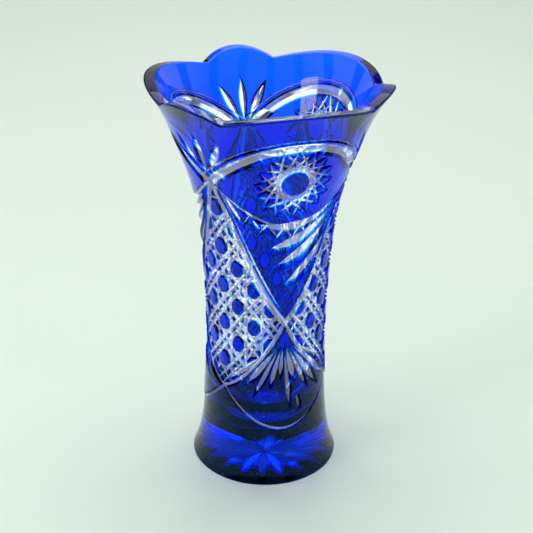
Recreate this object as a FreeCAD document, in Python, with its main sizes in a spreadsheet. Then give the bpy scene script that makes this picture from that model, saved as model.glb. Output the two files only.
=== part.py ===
"""Cut crystal vase: a thick clear crystal vessel cased in thin cobalt glass.

The casing covers the outside and the underside. Wheel cuts go through it into the
clear crystal, so the casing is left as separate islands: a rim band, three lens
panels round a star, three pointed panels with feather cuts, three fields of raised
buttons, three petals over the foot, and the foot itself.

Millimetres, +Z up, origin at the middle of the underside. Lens panel 1 faces -Y.
"""
import FreeCAD, Part
import math
import os
import Sketcher

Vector = FreeCAD.Vector
AXIS = Vector(0, 0, 1)
SECTORS = 3
SECTOR_ANGLE = 360.0 / SECTORS
HALF = SECTOR_ANGLE / 2
FRONT_ANGLE = -90.0

# Driving dimensions: alias, value, meaning. Lengths in mm, angles in degrees.
SIZES = [
    ("vase_height", 250.0, "underside to the crest of the rim"),
    ("lip_radius", 74.2, "outer curve's end, a little over the crests"),
    ("lip_spare", 2.0, "how far the blank stands over the crests before they are cut"),
    ("collar_radius", 62.6, "outer curve's control radius under the lip"),
    ("collar_height", 238.0, "height of that control point"),
    ("neck_radius", 55.0, "control radius at the star"),
    ("neck_height", 215.0, "its height"),
    ("shoulder_radius", 43.2, "control radius at the shoulder"),
    ("shoulder_height", 185.0, "its height"),
    ("belly_radius", 39.2, "control radius above the waist"),
    ("belly_height", 145.0, "its height"),
    ("waist_radius", 36.9, "control radius at the waist"),
    ("waist_height", 95.0, "its height"),
    ("stem_radius", 38.7, "control radius above the foot"),
    ("stem_height", 48.0, "its height"),
    ("ankle_radius", 41.2, "control radius where the foot spreads"),
    ("ankle_height", 14.0, "its height"),
    ("foot_radius", 47.2, "outside of the foot on the table"),
    ("casing", 1.5, "thickness of the cobalt casing"),
    ("foot_step", 0.6, "how much lower the ground foot lies than the petals"),
    ("floor_height", 30.0, "underside to the cavity's floor"),
    ("body_wall", 9.0, "crystal wall round the cavity"),
    ("collar_wall", 8.0, "crystal wall under the lip"),
    ("rim_wall", 7.0, "whole wall at the rim"),
    ("scallop_drop", 8.6, "crest of the rim down to its notches"),
    ("wide_scallop", 80.0, "angle that a wide scallop spans"),
    ("joint_height", 201.0, "where the arches and the V lines meet"),
    ("arch_rise", 27.0, "joint up to the top of the arch over a lens"),
    ("lens_drop", 25.5, "joint down to the bottom of the arc under a lens"),
    ("tip_height", 110.0, "where two V lines cross"),
    ("corner_height", 62.0, "where the petal lines and arcs meet"),
    ("petal_drop", 25.0, "those corners down to the bottom of the arc under a petal"),
    ("line_sag", 11.0, "how far a V line hangs below straight"),
    ("petal_sag", 7.0, "how far a petal line hangs below straight"),
    ("arch_width", 6.0, "width of the arch cut"),
    ("arc_width", 4.4, "width of the arcs under lens and petal"),
    ("line_width", 5.4, "width of the V lines"),
    ("star_rise", 4.0, "joint up to the middle of the star"),
    ("star_gap", 1.6, "casing left between the rays and the cuts above and below"),
    ("star_button", 7.4, "radius of the star's button"),
    ("star_moat", 2.4, "width of the clear ring round that button"),
    ("ray_width", 5.4, "width of a star ray at the button"),
    ("feather_width", 6.6, "widest part of a feather cut"),
    ("fan_width", 4.6, "widest part of a split"),
    ("button_width", 8.4, "raised button of the cane field, across"),
    ("button_tall", 10.4, "raised button, up and down"),
    ("button_turn", 15.5, "angle between columns of buttons"),
    ("button_pitch", 25.6, "height from one button to the next above it"),
    ("button_bevel", 0.9, "how far a button's flanks spread at its root"),
    ("button_height", 107.0, "height of a button in the middle column"),
    ("cane_width", 5.0, "width of the slanted cuts between the buttons"),
    ("base_star_reach", 38.0, "middle of the underside to the tips of its star"),
    ("base_ray_width", 6.4, "widest part of a ray in the underside"),
]
STAR_RAYS = 16
BASE_RAYS = 18
PETAL_SPLITS = 7
OVER = 1.0          # how far a cutter stands clear of the surface it cuts
TIP_LIFT = 0.25     # how far a tapered cutter's tip ends above the surface
SLICE_SPARE = 10.0  # how far a pie slice stands clear of the vase above and below
BUTTON_CHOP = 0.28  # share of a button's width that its corners lose

doc = FreeCAD.newDocument("crystal_vase")
sheet = doc.addObject("Spreadsheet::Sheet", "Dimensions")
for row, (alias, value, meaning) in enumerate(SIZES, start=1):
    sheet.set("A%d" % row, str(value))
    sheet.setAlias("A%d" % row, alias)
    sheet.set("B%d" % row, meaning)
doc.recompute()


def size(alias):
    return float(sheet.get(alias))


# The outer curve's control points, bottom to top: radius, height, as sheet formulas.
OUTER = [("foot_radius", "0"), ("ankle_radius", "ankle_height"),
         ("stem_radius", "stem_height"), ("waist_radius", "waist_height"),
         ("belly_radius", "belly_height"), ("shoulder_radius", "shoulder_height"),
         ("neck_radius", "neck_height"), ("collar_radius", "collar_height"),
         ("lip_radius", "vase_height + lip_spare")]


def outer_points(inset="0 mm", bottom="0"):
    """Formulas for the outer curve moved inwards, starting at a given height."""
    points = [("%s - %s" % (radius, inset), height) for radius, height in OUTER]
    points[0] = (points[0][0], bottom)
    return points


def cavity_points():
    """Formulas for the cavity: a rounded floor, then the outer curve less the wall."""
    points = [("0", "floor_height"), ("waist_radius - body_wall", "floor_height")]
    points += [("%s - body_wall" % radius, height) for radius, height in OUTER[3:7]]
    points.append(("collar_radius - collar_wall", "collar_height"))
    points.append(("lip_radius - rim_wall", "vase_height + lip_spare"))
    return points


def formula(text):
    """A sheet formula with each alias written as Dimensions.alias."""
    words = text.replace(" mm", "").split()
    known = [alias for alias, value, meaning in SIZES]
    return " ".join("Dimensions." + word if word in known else word for word in words)


def figure(text):
    """The value of a sum or difference of aliases and plain numbers."""
    total, sign = 0.0, 1.0
    known = [alias for alias, value, meaning in SIZES]
    for word in text.replace(" mm", "").split():
        if word in "+-":
            sign = 1.0 if word == "+" else -1.0
        else:
            total += sign * (size(word) if word in known else float(word))
    return total


def turned_body(name, points):
    """A PartDesign body turned from a smooth curve through control points."""
    body = doc.addObject("PartDesign::Body", name)
    sketch = body.newObject("Sketcher::SketchObject", name + "_profile")
    plane = [item for item in body.Origin.OriginFeatures if item.Role == "XZ_Plane"][0]
    sketch.AttachmentSupport = [(plane, "")]
    sketch.MapMode = "FlatFace"
    doc.recompute()
    poles = [Vector(figure(radius), figure(height)) for radius, height in points]
    curve = Part.BSplineCurve()
    curve.buildFromPoles(poles, False, 3)
    side = sketch.addGeometry(curve, False)
    sketch.exposeInternalGeometry(side)
    low, top = poles[0], poles[-1]
    lid = sketch.addGeometry(Part.LineSegment(top, Vector(0, top.y)), False)
    rod = sketch.addGeometry(Part.LineSegment(Vector(0, top.y), Vector(0, low.y)), False)
    make = Sketcher.Constraint
    for constraint in (make("Coincident", side, 2, lid, 1), make("Coincident", lid, 2, rod, 1),
                       make("Horizontal", lid), make("Vertical", rod)):
        sketch.addConstraint(constraint)
    if low.x > 0:
        floor = sketch.addGeometry(Part.LineSegment(Vector(0, low.y), low), False)
        for constraint in (make("Coincident", rod, 2, floor, 1),
                           make("Coincident", floor, 2, side, 1), make("Horizontal", floor)):
            sketch.addConstraint(constraint)
    else:
        sketch.addConstraint(make("Coincident", rod, 2, side, 1))
    for index, (radius, height) in enumerate(points):
        for kind, text, value in (("DistanceX", radius, poles[index].x),
                                  ("DistanceY", height, poles[index].y)):
            if index == 0 and kind == "DistanceX" and low.x == 0:
                sketch.addConstraint(make("PointOnObject", side, 1, -2))
                continue
            place = sketch.addConstraint(make(kind, -1, 1, side + 1 + index, 3, value))
            label = "%s_%d" % (kind.lower(), index)
            sketch.renameConstraint(place, label)
            sketch.setExpression("Constraints." + label, formula(text))
    turn = body.newObject("PartDesign::Revolution", name + "_turn")
    turn.Profile = sketch
    turn.ReferenceAxis = (sketch, ["V_Axis"])
    turn.Angle = 360
    return body


outer_blank = turned_body("outer_blank", outer_points())
core_blank = turned_body("core_blank", outer_points("casing", "casing"))
foot_blank = turned_body("foot_blank", outer_points("foot_step"))
cavity_form = turned_body("cavity_form", cavity_points())
doc.recompute()

# The outer surface as a function, for laying out the cuts.
outer_curve = Part.BSplineCurve()
outer_curve.buildFromPoles([Vector(figure(radius), 0, figure(height)) for radius, height in OUTER],
                           False, 3)


def surface(turn, height):
    """Point and outward normal on the outer surface; turn is the angle from the front."""
    low, high = outer_curve.FirstParameter, outer_curve.LastParameter
    for step in range(40):
        middle = (low + high) / 2
        if outer_curve.value(middle).z < height:
            low = middle
        else:
            high = middle
    spot = outer_curve.value(low)
    slope = outer_curve.tangent(low)[0]
    angle = math.radians(FRONT_ANGLE + turn)
    around = Vector(math.cos(angle), math.sin(angle), 0)
    extra = (height - spot.z) * slope.x / slope.z
    point = around * (spot.x + extra) + Vector(0, 0, height)
    normal = around * slope.z - Vector(0, 0, slope.x)
    return point, normal.normalize()


def spread(distance, height):
    """The angle that a distance round the outer surface spans at a height."""
    point = surface(0, height)[0]
    return math.degrees(distance / math.hypot(point.x, point.y))


def wedge_cut(stations, depths, width, depth):
    """A V-shaped cutter along a surface: two ruled flanks that meet at the bottom.

    stations are (point, normal); depths say how deep the V is at each of them; the
    flanks slope so that a cut of the full depth is as wide as width.
    """
    slope = width / 2 / depth
    bottoms, lefts, rights = [], [], []
    last = len(stations) - 1
    for index, ((point, normal), deep) in enumerate(zip(stations, depths)):
        ahead = stations[min(index + 1, last)][0] - stations[max(index - 1, 0)][0]
        across = normal.cross(ahead).normalize() * (deep + OVER) * slope
        bottoms.append(point - normal * deep)
        lefts.append(point + normal * OVER + across)
        rights.append(point + normal * OVER - across)
    edges = []
    for points in (bottoms, lefts, rights):
        curve = Part.BSplineCurve()
        curve.interpolate(points)
        edges.append(curve.toShape())
    bottom, left, right = edges
    faces = [Part.makeRuledSurface(bottom, left), Part.makeRuledSurface(left, right),
             Part.makeRuledSurface(right, bottom)]
    for end in (0, last):
        corners = [bottoms[end], lefts[end], rights[end], bottoms[end]]
        faces.append(Part.Face(Part.makePolygon(corners)))
    shell = Part.Shell(faces)
    shell.sewShape()
    solid = Part.Solid(shell)
    if solid.Volume < 0:
        solid.reverse()
    return solid


def run_cut(path, width, depth, steps=8):
    """A cut of even depth along path(s), s from 0 to 1, which gives turn and height."""
    stations = [surface(*path(index / steps)) for index in range(steps + 1)]
    return wedge_cut(stations, [depth] * (steps + 1), width, depth)


def leaf_cut(path, width, depth, fullest=0.35, root=0.45, steps=6):
    """A cut that swells to its full depth and runs out to a point at its far end."""
    stations, depths = [], []
    for index in range(steps + 1):
        along = index / steps
        if along < fullest:
            share = root + (1 - root) * math.sin(math.pi / 2 * along / fullest)
        else:
            share = math.cos(math.pi / 2 * (along - fullest) / (1 - fullest))
        stations.append(surface(*path(along)))
        depths.append(share * (depth + TIP_LIFT) - TIP_LIFT)
    return wedge_cut(stations, depths, width, depth)


def bow(start, bend, end):
    """A curved path from start to end, pulled towards bend; all are turn, height."""
    def path(along):
        back = 1 - along
        return tuple(back * back * a + 2 * back * along * b + along * along * c
                     for a, b, c in zip(start, bend, end))
    return path


def straight(start, end):
    return bow(start, tuple((a + b) / 2 for a, b in zip(start, end)), end)


def arc_path(ends, middle):
    """From one joint to the next, level with ends there and with middle half way."""
    def path(along):
        turn = (along - 0.5) * (SECTOR_ANGLE + 4)
        return turn, ends + (middle - ends) * math.cos(math.pi * turn / SECTOR_ANGLE)
    return path


def line_path(top, low, sag, side, start_up):
    """A line that falls from top to low over half a sector, hanging by sag."""
    half = SECTOR_ANGLE / 2

    def path(along):
        share = -0.02 + 1.04 * along
        turn = half * (1 - share) if start_up else half * share
        return side * turn, top + (low - top) * share - 4 * sag * share * (1 - share)
    return path


def cane_heights(turn):
    """Lowest and highest point of a cane field at a turn from its own middle."""
    out = abs(turn) / HALF
    hang = 4 * out * (1 - out)
    high = JOINT + (TIP - JOINT) * out - size("line_sag") * hang
    low = CORNER + (TIP - CORNER) * out - size("petal_sag") * hang
    return low, high


JOINT = size("joint_height")
TIP = size("tip_height")
CORNER = size("corner_height")
ARCH_TOP = JOINT + size("arch_rise")
LENS_LOW = JOINT - size("lens_drop")
STAR_MIDDLE = JOINT + size("star_rise")
PETAL_LOW = CORNER - size("petal_drop")
STAR_DOWN = STAR_MIDDLE - LENS_LOW - size("arc_width") / 2 - size("star_gap")
STAR_UP = ARCH_TOP - STAR_MIDDLE - size("arch_width") / 2 - size("star_gap")
CUT_DEPTH = size("casing") + 1.0
FINE_DEPTH = size("casing") + 0.8
STAR_DEPTH = size("casing") + 1.4


def main_cuts():
    """The cuts that part one panel from the next, for one sector."""
    cuts = [run_cut(arc_path(JOINT, ARCH_TOP), size("arch_width"), CUT_DEPTH, 12),
            run_cut(arc_path(JOINT, LENS_LOW), size("arc_width"), CUT_DEPTH, 12),
            run_cut(arc_path(CORNER, PETAL_LOW), size("arc_width"), CUT_DEPTH, 12)]
    for side in (-1, 1):
        upper = line_path(JOINT, TIP, size("line_sag"), side, True)
        lower = line_path(TIP, CORNER, size("petal_sag"), side, False)
        cuts.append(run_cut(upper, size("line_width"), CUT_DEPTH, 10))
        cuts.append(run_cut(lower, size("line_width"), CUT_DEPTH, 8))
    return cuts


def star_cuts():
    """Rays that leave a many-sided button at the middle and run out to points."""
    cuts = []
    for index in range(STAR_RAYS):
        angle = 2 * math.pi * index / STAR_RAYS + math.pi / 2
        reach = STAR_DOWN + (STAR_UP - STAR_DOWN) * max(0.0, math.sin(angle))
        ends = []
        for distance in (size("star_button"), reach):
            height = STAR_MIDDLE + distance * math.sin(angle)
            ends.append((spread(distance * math.cos(angle), height), height))
        cuts.append(leaf_cut(straight(*ends), size("ray_width"), STAR_DEPTH, 0.3, 0.9, 4))
    return cuts


def star_ring():
    """The moat round the star's button: a round cut less the many-sided button."""
    point, normal = surface(0, STAR_MIDDLE)
    radius = size("star_button")
    root = point - normal * (CUT_DEPTH + OVER)
    rise = CUT_DEPTH + 2 * OVER
    moat = Part.makeCylinder(radius + size("star_moat"), rise, root, normal)
    across = AXIS.cross(normal).normalize()
    upward = normal.cross(across)
    corners = []
    for index in range(STAR_RAYS + 1):
        angle = 2 * math.pi * (index % STAR_RAYS + 0.5) / STAR_RAYS
        corners.append(root + across * (radius * math.cos(angle))
                       + upward * (radius * math.sin(angle)))
    button = Part.Face(Part.makePolygon(corners)).extrude(normal * rise)
    return moat.cut(button)


def feather_cuts():
    """Feathers that sweep from the right-hand joint across the pointed panel."""
    low, span = LENS_LOW, LENS_LOW - TIP
    feathers = [((44, low + 0.17 * span), (8, low - 0.18 * span), (-36, low + 0.02 * span)),
                ((42, low + 0.07 * span), (16, low - 0.20 * span), (-24, low - 0.26 * span)),
                ((40, low - 0.02 * span), (18, low - 0.30 * span), (-17, low - 0.455 * span)),
                ((36, low - 0.16 * span), (21, low - 0.46 * span), (-6, low - 0.64 * span))]
    cuts = [leaf_cut(bow(*feather), size("feather_width"), FINE_DEPTH, 0.45, 0.2)
            for feather in feathers]
    leaf = straight((-50, low + 0.25 * span), (-38, low))
    cuts.append(leaf_cut(leaf, size("feather_width"), FINE_DEPTH, 0.5, 0.1))
    return cuts


def fan_cuts():
    """Splits that fan upwards from a joint into the rim band."""
    foot = JOINT + 0.3 * size("arch_rise")
    head = ARCH_TOP + 0.15 * size("arch_rise")
    return [leaf_cut(straight((HALF + lean * 0.3, foot), (HALF + lean, head - abs(lean) * 0.2)),
                     size("fan_width"), FINE_DEPTH, 0.55, 0.1) for lean in (-16, 0, 16)]


def petal_cuts():
    """Splits that fan downwards from the petal's apex, long and short by turns."""
    apex = TIP - size("line_width") * 1.7
    reach = apex - PETAL_LOW
    cuts = []
    for index in range(PETAL_SPLITS):
        place = index - (PETAL_SPLITS - 1) / 2
        length = reach * (0.78 if index % 2 else 0.62) * (1 - 0.045 * place * place)
        lean = math.radians(13.0 * place)
        ends = []
        for distance in (0.28 * reach, length):
            height = apex - distance * math.cos(lean)
            ends.append((spread(distance * math.sin(lean), height), height))
        cuts.append(leaf_cut(straight(*ends), size("fan_width"), FINE_DEPTH, 0.6, 0.1))
    return cuts


def base_cuts():
    """The star in the underside: leaf-shaped rays that meet near its middle."""
    cuts = []
    reach = size("base_star_reach")
    down = Vector(0, 0, -1)
    steps = 6
    for index in range(BASE_RAYS):
        angle = 2 * math.pi * (index + 0.5) / BASE_RAYS
        out = Vector(math.cos(angle), math.sin(angle), 0)
        stations, depths = [], []
        for step in range(steps + 1):
            along = step / steps
            stations.append((out * (reach * (0.16 + 0.84 * along)), down))
            share = math.sin(math.pi * (0.06 + 0.94 * along))
            depths.append(share * (STAR_DEPTH + TIP_LIFT) - TIP_LIFT)
        cuts.append(wedge_cut(stations, depths, size("base_ray_width"), STAR_DEPTH))
    return cuts


def cane_cuts():
    """Slanted cuts between the buttons of the field round a joint, both ways."""
    rise = size("button_pitch") / 2 / size("button_turn")
    first = size("button_height") + size("button_pitch") / 2
    cuts = []
    for slant in (-rise, rise):
        for row in range(-3, 4):
            level = first + row * size("button_pitch")
            inside = []
            for turn in range(-int(HALF), int(HALF) + 1):
                low, high = cane_heights(turn)
                if low < level + slant * turn < high:
                    inside.append(turn)
            if len(inside) < size("button_turn"):
                continue
            ends = [(HALF + turn, level + slant * turn) for turn in (inside[0], inside[-1])]
            cuts.append(run_cut(straight(*ends), size("cane_width"), FINE_DEPTH, 4))
    return cuts


def button_form(turn, height):
    """An eight-sided block with spreading flanks, standing on the core along its normal."""
    point, normal = surface(HALF + turn, height)
    across = AXIS.cross(normal).normalize()
    upward = normal.cross(across)
    rings = []
    for level, grow in ((OVER, 0.0), (-size("casing") - OVER, size("button_bevel"))):
        wide = size("button_width") / 2 + grow
        tall = size("button_tall") / 2 + grow
        chop = size("button_width") * BUTTON_CHOP
        corners = [(wide, tall - chop), (wide - chop, tall), (chop - wide, tall),
                   (-wide, tall - chop), (-wide, chop - tall), (chop - wide, -tall),
                   (wide - chop, -tall), (wide, chop - tall), (wide, tall - chop)]
        middle = point + normal * level
        rings.append(Part.makePolygon([middle + across * x + upward * y for x, y in corners]))
    return Part.makeLoft(rings, True, True)


def button_places():
    """Staggered columns of buttons, as far as their field reaches."""
    clear = size("line_width") + size("button_width") * 0.4
    places = []
    columns = int(HALF / size("button_turn"))
    for column in range(-columns, columns + 1):
        turn = column * size("button_turn")
        low, high = cane_heights(turn)
        first = size("button_height") + (column % 2) * size("button_pitch") / 2
        for row in range(-4, 5):
            height = first + row * size("button_pitch")
            if low + clear < height < high - clear:
                places.append((turn, height))
    return places


def turned(shape, sector):
    """The same shape in another sector."""
    copy = shape.copy()
    copy.rotate(Vector(0, 0, 0), AXIS, SECTOR_ANGLE * sector)
    return copy


def every_sector(shapes):
    return [turned(shape, sector) for sector in range(SECTORS) for shape in shapes]


def cut_in_turn(shape, cutters):
    for cutter in cutters:
        shape = shape.cut(cutter)
    return shape


def island(shape, turn, height):
    """The one solid of a cut casing that has material at a turn and height."""
    point, normal = surface(turn, height)
    probe = point - normal * (size("casing") * 0.75)
    found = [solid for solid in shape.Solids if solid.isInside(probe, 0.01, True)]
    if len(found) != 1:
        raise RuntimeError("no island of casing at turn %g, height %g" % (turn, height))
    return found[0]


def scallop_tools():
    """What lies above the six arched scallops of the rim, as pie slices less cylinders."""
    tools = []
    wide = "Dimensions.wide_scallop"
    kinds = [("wide", wide, wide + " * 1 deg", size("wide_scallop"), 0.0),
             ("narrow", "%g - %s" % (SECTOR_ANGLE, wide),
              "(%g deg - %s * 1 deg)" % (SECTOR_ANGLE, wide),
              SECTOR_ANGLE - size("wide_scallop"), HALF)]
    crest_rise = "Dimensions.scallop_drop"
    for sector in range(SECTORS):
        for kind, slice_angle, arch_angle, span, turn in kinds:
            name = "%s_scallop_%d" % (kind, sector + 1)
            middle = FRONT_ANGLE + turn + sector * SECTOR_ANGLE
            above = doc.addObject("Part::Cylinder", name + "_slice")
            above.setExpression("Angle", slice_angle)
            above.setExpression("Radius", "Dimensions.lip_radius * 1.2")
            above.setExpression("Height", crest_rise + " * 4")
            above.Placement = FreeCAD.Placement(
                Vector(0, 0, size("vase_height") - 2 * size("scallop_drop")),
                FreeCAD.Rotation(AXIS, middle - span / 2))
            arch = doc.addObject("Part::Cylinder", name + "_arch")
            half_chord = "(Dimensions.lip_radius * sin(%s / 2))" % arch_angle
            arch.setExpression("Radius", "(%s^2 + %s^2) / (2 * %s)"
                               % (half_chord, crest_rise, crest_rise))
            arch.setExpression("Height", "Dimensions.lip_radius * 1.4")
            doc.recompute()
            outward = FreeCAD.Rotation(AXIS, middle).multVec(Vector(1, 0, 0))
            arch.Placement = FreeCAD.Placement(
                Vector(0, 0, size("vase_height") - arch.Radius.Value),
                FreeCAD.Rotation(AXIS, outward))
            tool = doc.addObject("Part::Cut", name)
            tool.Base = above
            tool.Tool = arch
            tools.append(tool)
    return tools


def pair(kind, name, base, tool):
    item = doc.addObject(kind, name)
    item.Base = base
    item.Tool = tool
    return item


def slice_of(name, middle):
    """A pie slice one sector wide, taller and wider than the vase."""
    item = doc.addObject("Part::Cylinder", name)
    item.Angle = SECTOR_ANGLE
    item.setExpression("Radius", "Dimensions.lip_radius * 1.5")
    item.setExpression("Height", "Dimensions.vase_height + %g" % (2 * SLICE_SPARE))
    item.Placement = FreeCAD.Placement(
        Vector(0, 0, -SLICE_SPARE), FreeCAD.Rotation(AXIS, FRONT_ANGLE + middle - HALF))
    return item


rim_notches = doc.addObject("Part::MultiFuse", "rim_notches")
rim_notches.Shapes = scallop_tools()
casing_blank = pair("Part::Cut", "casing_blank", outer_blank, core_blank)
vessel_blank = pair("Part::Cut", "vessel_blank", core_blank, cavity_form)
panel_slice = slice_of("panel_slice", 0.0)
cane_slice = slice_of("cane_slice", HALF)
doc.recompute()
panel_casing = pair("Part::Common", "panel_casing", casing_blank, panel_slice)
cane_casing = pair("Part::Common", "cane_casing", casing_blank, cane_slice)
panel_vessel = pair("Part::Common", "panel_vessel", vessel_blank, panel_slice)
doc.recompute()

mains = main_cuts()
arch, lens_arc, petal_arc, left_line, left_petal_line, right_line, right_petal_line = mains
star = [star_ring()] + star_cuts()
feathers = feather_cuts()
splits = petal_cuts()
fan = fan_cuts()
base_star = base_cuts()
notches = rim_notches.Shape

# Casing islands of one sector, then copied to the others.
panels = cut_in_turn(panel_casing.Shape, mains)
lens_and_button = cut_in_turn(island(panels, 0, STAR_MIDDLE), star)
beside_star = spread(STAR_DOWN + size("ray_width"), STAR_MIDDLE)
sector_nodes = {
    "lens_panel": island(lens_and_button, beside_star, STAR_MIDDLE),
    "star_button": island(lens_and_button, 0, STAR_MIDDLE),
    "v_panel": cut_in_turn(island(panels, 0, (LENS_LOW + TIP) / 2), feathers),
    "petal_panel": cut_in_turn(island(panels, 0, (TIP + PETAL_LOW) / 2), splits),
}
cane_edges = [right_line, right_petal_line, turned(left_line, 1), turned(left_petal_line, 1)]
cane_field = island(cut_in_turn(cane_casing.Shape, cane_edges), HALF, TIP)
buttons = [cane_field.common(button_form(*place)) for place in button_places()]
sector_nodes["cane_buttons"] = Part.makeCompound(
    [solid for button in buttons for solid in button.Solids])

# The rim band and the foot run right round.
ring = cut_in_turn(casing_blank.Shape, every_sector([arch]))
rim = island(ring, 0, (ARCH_TOP + size("vase_height")) / 2)
rim = cut_in_turn(rim, [notches] + every_sector(fan))
ring = cut_in_turn(casing_blank.Shape, every_sector([petal_arc]))
foot = island(ring, 0, size("ankle_height"))
foot = cut_in_turn(foot.common(foot_blank.Shape), base_star)

# The crystal: every cut that reaches one sector, then three such sectors joined.
cane = cane_cuts()
left_side = [turned(cutter, -1) for cutter in fan + cane]
sector_body = cut_in_turn(panel_vessel.Shape, [notches] + mains + star + feathers + splits
                          + fan + cane + left_side + base_star)
body = sector_body.fuse([turned(sector_body, 1), turned(sector_body, 2)])

nodes = {"crystal_body": (body, 0), "rim_casing": (rim, 0), "foot_casing": (foot, 0)}
for name, shape in sector_nodes.items():
    for sector in range(SECTORS):
        nodes["%s_%d" % (name, sector + 1)] = (shape, sector)
for name, (shape, sector) in nodes.items():
    item = doc.addObject("Part::Feature", name)
    item.Shape = shape
    item.Label = name
    item.Placement = FreeCAD.Placement(Vector(0, 0, 0),
                                       FreeCAD.Rotation(AXIS, SECTOR_ANGLE * sector))
doc.recompute()

for item in doc.Objects:
    if "Invalid" in item.State or "Error" in item.State:
        raise RuntimeError("%s failed to build" % item.Label)
os.makedirs("parts", exist_ok=True)
for name in nodes:
    shape = doc.getObject(name).Shape
    if shape.isNull() or not shape.isValid() or not shape.Solids:
        raise RuntimeError("%s has no sound shape" % name)
    shape.exportStep("parts/%s.step" % name)
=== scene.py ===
"""Cut crystal vase: clear crystal cased in cobalt glass, and the studio it stands in.

Both glasses are turned as closed forms and cut with the same wheels, so each island of
casing left by the cuts sits on its own seat on the crystal. Where the two are fused
nothing bends or mirrors the light. Metres, +Z up, lens panel 1 towards -Y.
"""

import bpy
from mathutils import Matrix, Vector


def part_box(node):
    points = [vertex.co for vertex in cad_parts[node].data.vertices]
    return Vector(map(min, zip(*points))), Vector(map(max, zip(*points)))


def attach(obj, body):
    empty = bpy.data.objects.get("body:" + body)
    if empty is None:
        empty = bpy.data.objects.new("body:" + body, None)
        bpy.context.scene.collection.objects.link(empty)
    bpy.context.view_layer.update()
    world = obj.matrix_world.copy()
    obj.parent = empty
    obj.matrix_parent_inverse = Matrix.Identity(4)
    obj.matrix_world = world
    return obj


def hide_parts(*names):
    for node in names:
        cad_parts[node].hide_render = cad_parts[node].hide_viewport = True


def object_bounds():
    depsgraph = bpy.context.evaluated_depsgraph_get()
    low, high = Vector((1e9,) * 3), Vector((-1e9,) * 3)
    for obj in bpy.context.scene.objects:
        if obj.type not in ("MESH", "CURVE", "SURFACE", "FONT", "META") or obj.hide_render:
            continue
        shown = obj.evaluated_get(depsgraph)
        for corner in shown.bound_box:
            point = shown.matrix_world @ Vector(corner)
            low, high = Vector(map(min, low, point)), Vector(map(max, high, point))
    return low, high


bl_info = {
    "name": "Cut crystal vase",
    "version": (1, 0, 0),
    "blender": (4, 5, 0),
    "location": "View3D > Sidebar > Vase",
    "description": "Builds a cased and cut crystal vase and its studio round the packed model",
    "category": "Add Mesh",
}

import math

import bpy
import numpy as np
from bpy.props import FloatProperty, FloatVectorProperty, IntProperty, PointerProperty
from mathutils import Quaternion, Vector

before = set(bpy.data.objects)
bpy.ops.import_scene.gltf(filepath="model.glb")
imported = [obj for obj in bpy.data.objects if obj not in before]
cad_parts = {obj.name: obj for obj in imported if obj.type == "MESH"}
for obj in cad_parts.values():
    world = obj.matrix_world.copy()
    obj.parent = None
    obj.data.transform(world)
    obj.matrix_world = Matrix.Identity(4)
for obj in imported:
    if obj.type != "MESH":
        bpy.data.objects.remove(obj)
CAD_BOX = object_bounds()

MM = 0.001
SECTORS = 3
SECTOR = 360.0 / SECTORS
HALF = SECTOR / 2
FRONT = -90.0
COLUMNS = 180
PAINTED_SHADE_REACH = 0.16      # how far from the axis the floor's painted glow is held back, a painted shadow round the vase

# Patches: what made each face of the glass.
OUTSIDE, FUSED, CAVITY, EDGE, FIRST_FLANK = 0, 1, 2, 3, 10


# ---------------------------------------------------------------- properties

def length(label, millimetres, about):
    return FloatProperty(name=label, description=about, default=millimetres * MM, min=0.0,
                         precision=5, subtype="DISTANCE", unit="LENGTH")


def turn_angle(label, degrees, about):
    return FloatProperty(name=label, description=about, default=math.radians(degrees),
                         subtype="ANGLE", unit="ROTATION")


def amount(label, value, about):
    return FloatProperty(name=label, description=about, default=value, min=0.0, subtype="FACTOR")


def colour(label, value, about):
    return FloatVectorProperty(name=label, description=about, default=value, size=3,
                               min=0.0, max=1.0, subtype="COLOR")


class VaseForm(bpy.types.PropertyGroup):
    """The turned form under the cuts."""
    lip_radius: length("Lip radius", 74.2, "Outer curve's end, a little over the crests")
    lip_spare: length("Lip spare", 2.0, "How far the outer curve runs on over the crests")
    collar_radius: length("Collar radius", 62.6, "Control radius under the lip")
    collar_height: length("Collar height", 238.0, "Height of that control point")
    neck_radius: length("Neck radius", 55.0, "Control radius at the star")
    neck_height: length("Neck height", 215.0, "Its height")
    shoulder_radius: length("Shoulder radius", 43.2, "Control radius at the shoulder")
    shoulder_height: length("Shoulder height", 185.0, "Its height")
    belly_radius: length("Belly radius", 39.2, "Control radius above the waist")
    belly_height: length("Belly height", 145.0, "Its height")
    waist_radius: length("Waist radius", 36.9, "Control radius at the waist")
    waist_height: length("Waist height", 95.0, "Its height")
    stem_radius: length("Stem radius", 38.7, "Control radius above the foot")
    stem_height: length("Stem height", 48.0, "Its height")
    ankle_radius: length("Ankle radius", 41.2, "Control radius where the foot spreads")
    ankle_height: length("Ankle height", 14.0, "Its height")
    casing: length("Casing", 1.5, "Thickness of the cobalt casing")
    foot_step: length("Foot step", 0.6, "How much lower the ground foot lies than the petals")
    floor_height: length("Cavity floor", 30.0, "Underside to the floor of the cavity")
    body_wall: length("Body wall", 9.0, "Wall round the cavity")
    collar_wall: length("Collar wall", 8.0, "Wall under the lip")
    rim_wall: length("Rim wall", 7.0, "Wall at the rim")
    edge_round: length("Edge round", 0.9, "Polished rounding of the rim's inner edge")
    scallop_drop: length("Scallop drop", 8.6, "Crest of the rim down to its notches")
    wide_scallop: turn_angle("Wide scallop", 80.0, "Angle that a wide scallop spans")
    seam: length("Seam", 0.02, "Hair's breadth between the fused faces of the two meshes")


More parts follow.
